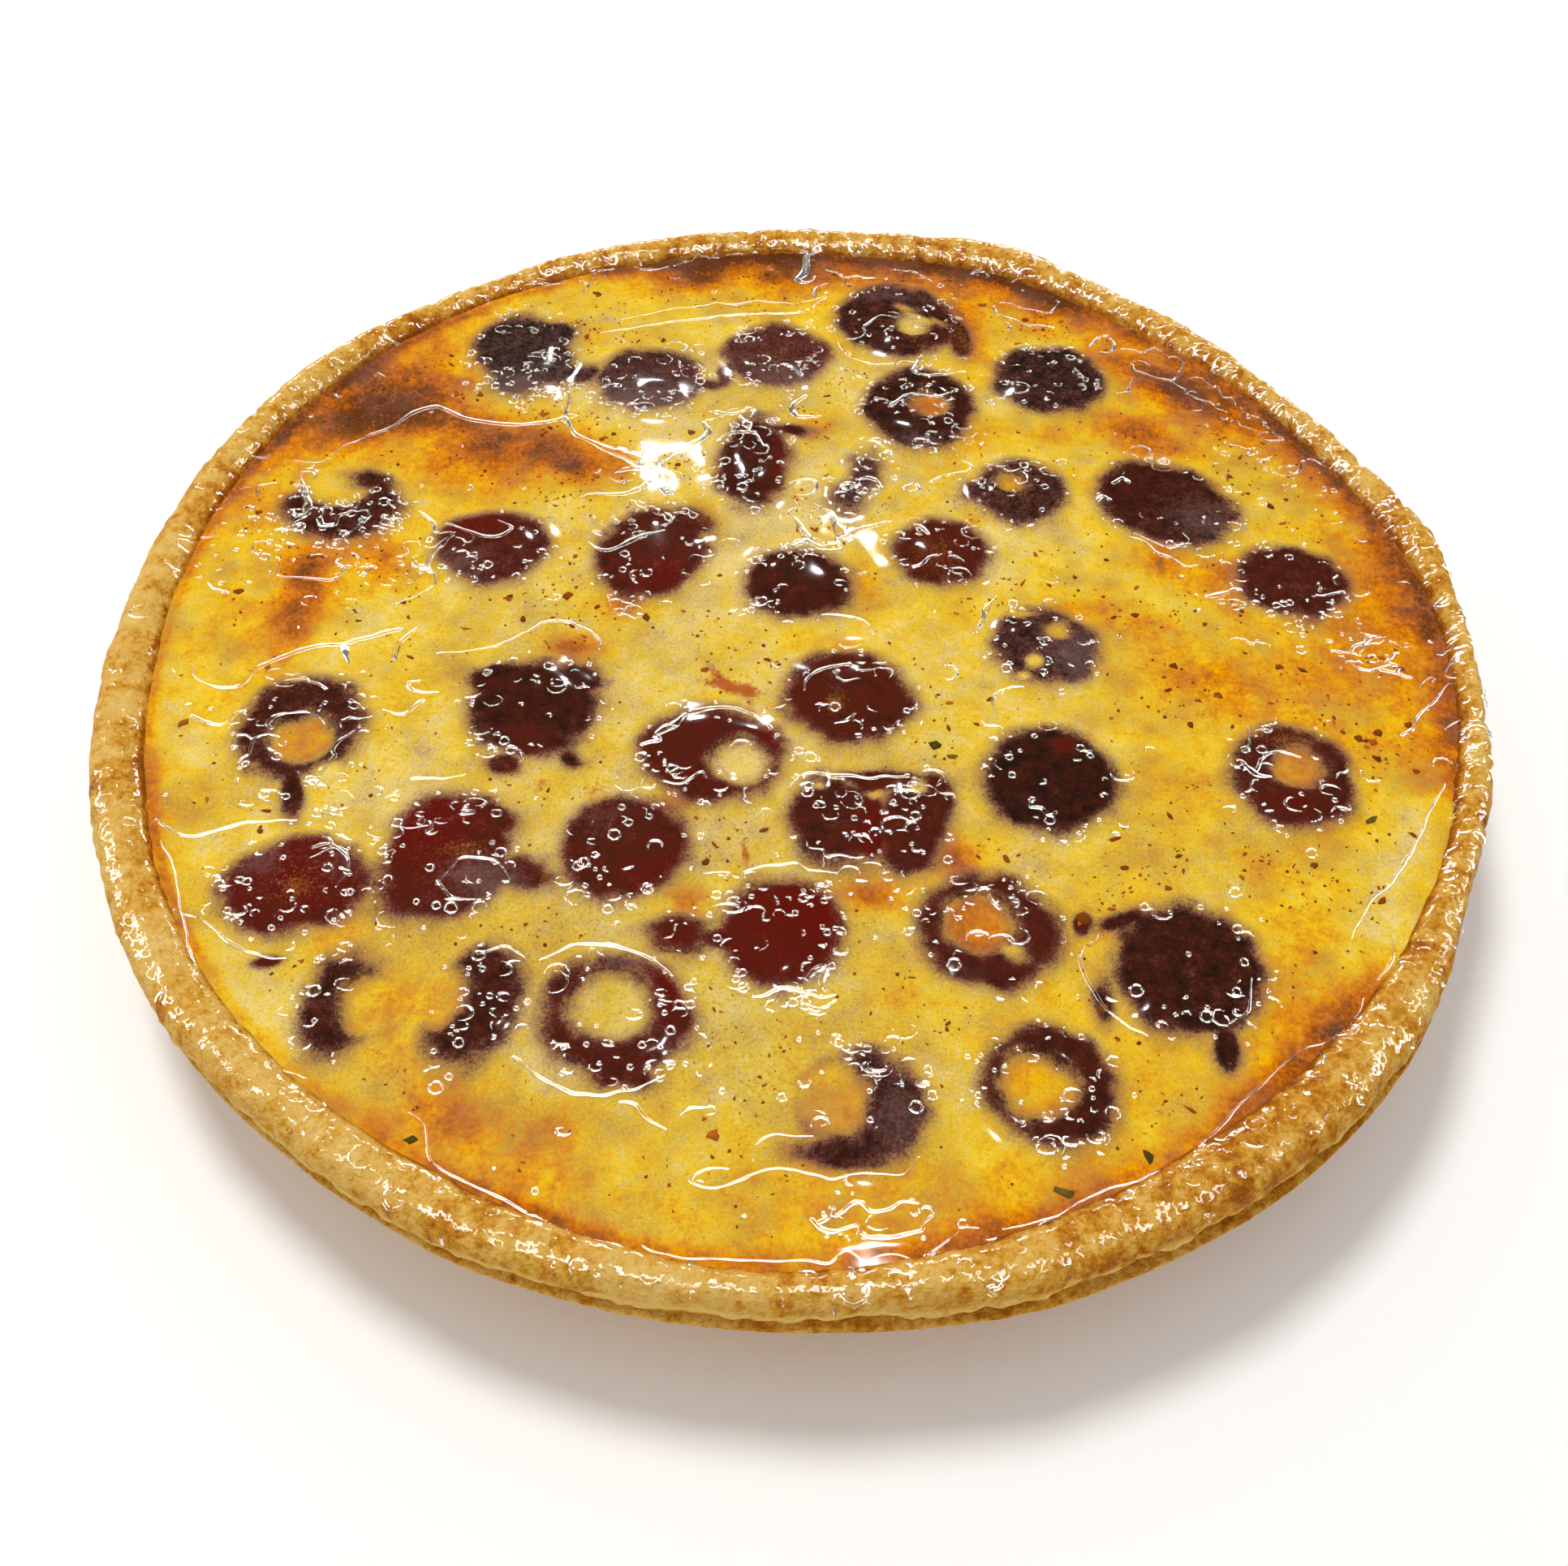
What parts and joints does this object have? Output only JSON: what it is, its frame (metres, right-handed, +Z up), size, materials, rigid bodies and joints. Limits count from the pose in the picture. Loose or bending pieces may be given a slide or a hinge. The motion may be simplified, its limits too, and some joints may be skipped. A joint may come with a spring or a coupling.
{
  "type": "cherry flan tart",
  "caption": "Round open tart with a rolled pastry rim, set custard and baked cherries under a clear glaze; a dessert that stands flat on its base.",
  "frame": {"origin": "on the surface that the tart stands on, under the middle of its base", "axes": "+Z up through the filling, -Y towards the side that is nearest in the picture, +X to the right in the picture"},
  "size_m": [0.2354, 0.2388, 0.0312],
  "materials": {
    "pastry": "golden baked shortcrust, finely blistered, with a thin wet glaze on its inner slope",
    "custard": "set egg custard, pale in the middle and browned towards the rim, glossy under a clear glaze",
    "cherry": "dark baked sweet cherry, wet and glossy",
    "glaze": "clear set glaze, wavy and full of small bubbles"
  },
  "bodies": {
    "root": {"crust": "pastry", "custard": "custard", "cherry_01": "cherry", "cherry_02": "cherry", "cherry_03": "cherry", "cherry_04": "cherry", "cherry_05": "cherry", "cherry_06": "cherry", "cherry_07": "cherry", "cherry_08": "cherry", "cherry_09": "cherry", "cherry_10": "cherry", "cherry_11": "cherry", "cherry_12": "cherry", "cherry_13": "cherry", "cherry_14": "cherry", "cherry_15": "cherry", "cherry_16": "cherry", "cherry_17": "cherry", "cherry_18": "cherry", "cherry_19": "cherry", "cherry_20": "cherry", "cherry_21": "cherry", "cherry_22": "cherry", "cherry_23": "cherry", "cherry_24": "cherry", "cherry_25": "cherry", "cherry_26": "cherry", "cherry_27": "cherry", "cherry_28": "cherry", "cherry_29": "cherry", "cherry_30": "cherry", "cherry_31": "cherry", "cherry_32": "cherry", "cherry_33": "cherry", "cherry_34": "cherry", "cherry_35": "cherry", "cherry_36": "cherry", "cherry_37": "cherry"}
  },
  "joints": []
}
